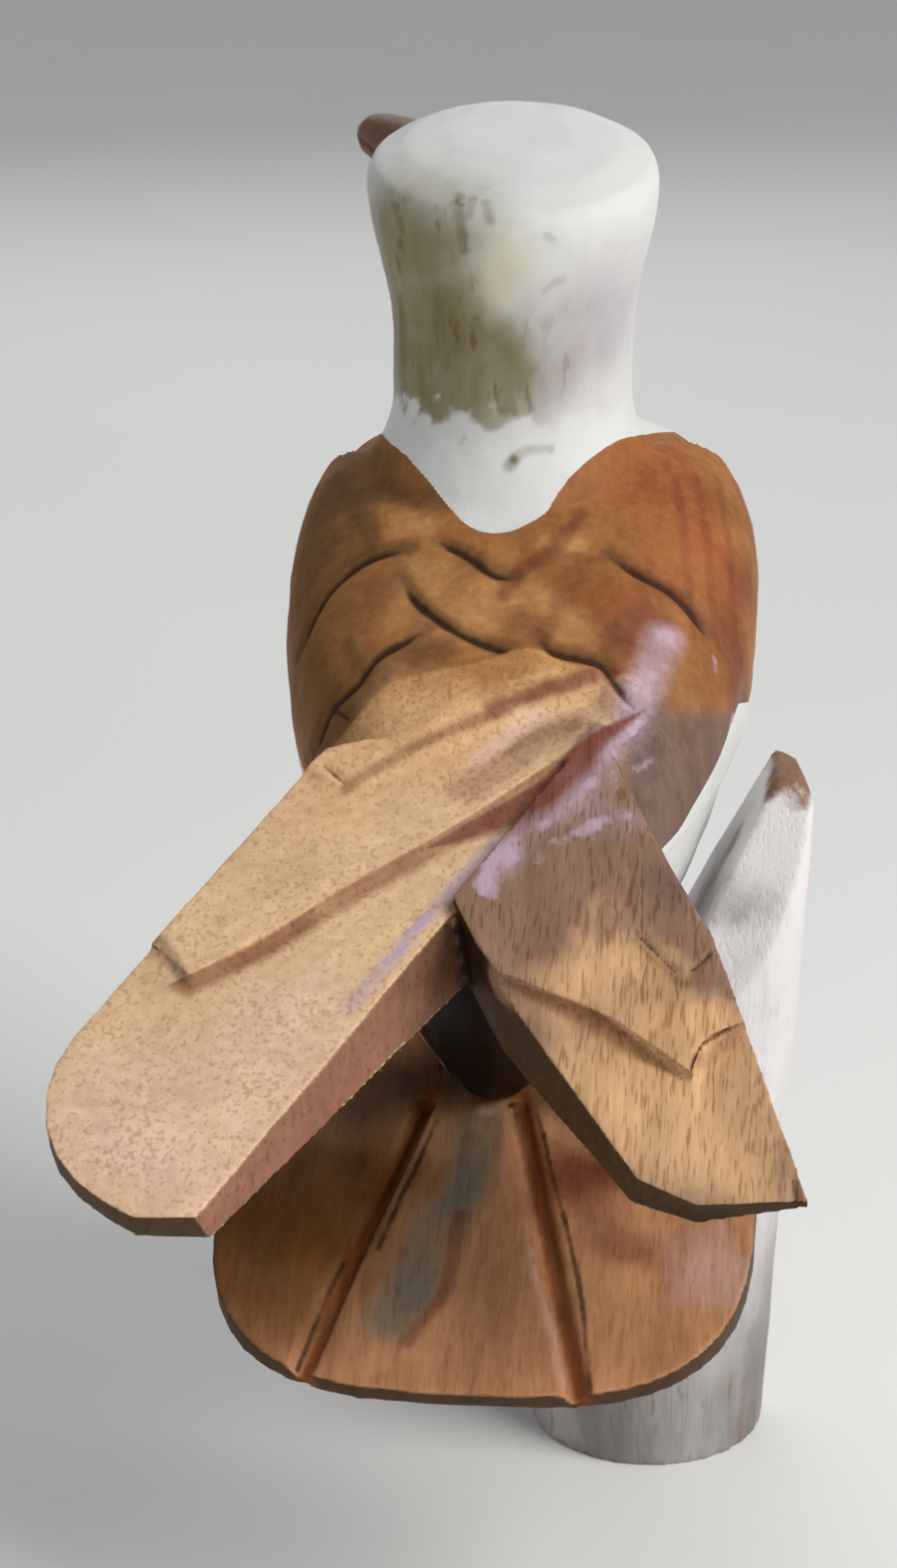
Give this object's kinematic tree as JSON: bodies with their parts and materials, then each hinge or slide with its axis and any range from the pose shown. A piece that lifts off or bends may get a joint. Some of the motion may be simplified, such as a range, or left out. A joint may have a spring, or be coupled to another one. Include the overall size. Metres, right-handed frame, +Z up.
{
  "type": "wooden seagull carving",
  "caption": "Carved wooden gull with white head and brown layered wings spread over a grooved fan tail, perched on whitewashed pilings as a shelf ornament.",
  "frame": {"origin": "on the ground under the bird, inside the foot of the main piling", "axes": "+Z up, the bird faces -Y with its tail towards +Y, and the bird's left side is +X"},
  "size_m": [0.113, 0.1897, 0.2229],
  "materials": {
    "chalky_white": "carved wood under worn chalky white paint, brown stained mantle",
    "stained_brown": "carved wood with brown stain, darker in the grooves",
    "raw_wood": "carved pale tan wood with dark open pores, partly stained",
    "whitewash": "round wood under thin matte whitewash",
    "dowel_wood": "plain turned hardwood",
    "beak_brown": "carved wood with dark brown stain",
    "dark_bead": "glossy black bead"
  },
  "bodies": {
    "root": {"main_piling": "whitewash", "side_piling": "whitewash", "piling_dowel_1": "dowel_wood", "piling_dowel_2": "dowel_wood", "perch_dowel": "dowel_wood", "body": "chalky_white", "neck_dowel": "dowel_wood", "head": "chalky_white", "beak": "beak_brown", "left_eye": "dark_bead", "right_eye": "dark_bead", "left_wing": "raw_wood", "left_wing_peg_1": "dowel_wood", "left_wing_peg_2": "dowel_wood", "right_wing": "raw_wood", "right_wing_peg_1": "dowel_wood", "right_wing_peg_2": "dowel_wood", "tail": "stained_brown", "tail_peg_1": "dowel_wood", "tail_peg_2": "dowel_wood"}
  },
  "joints": []
}
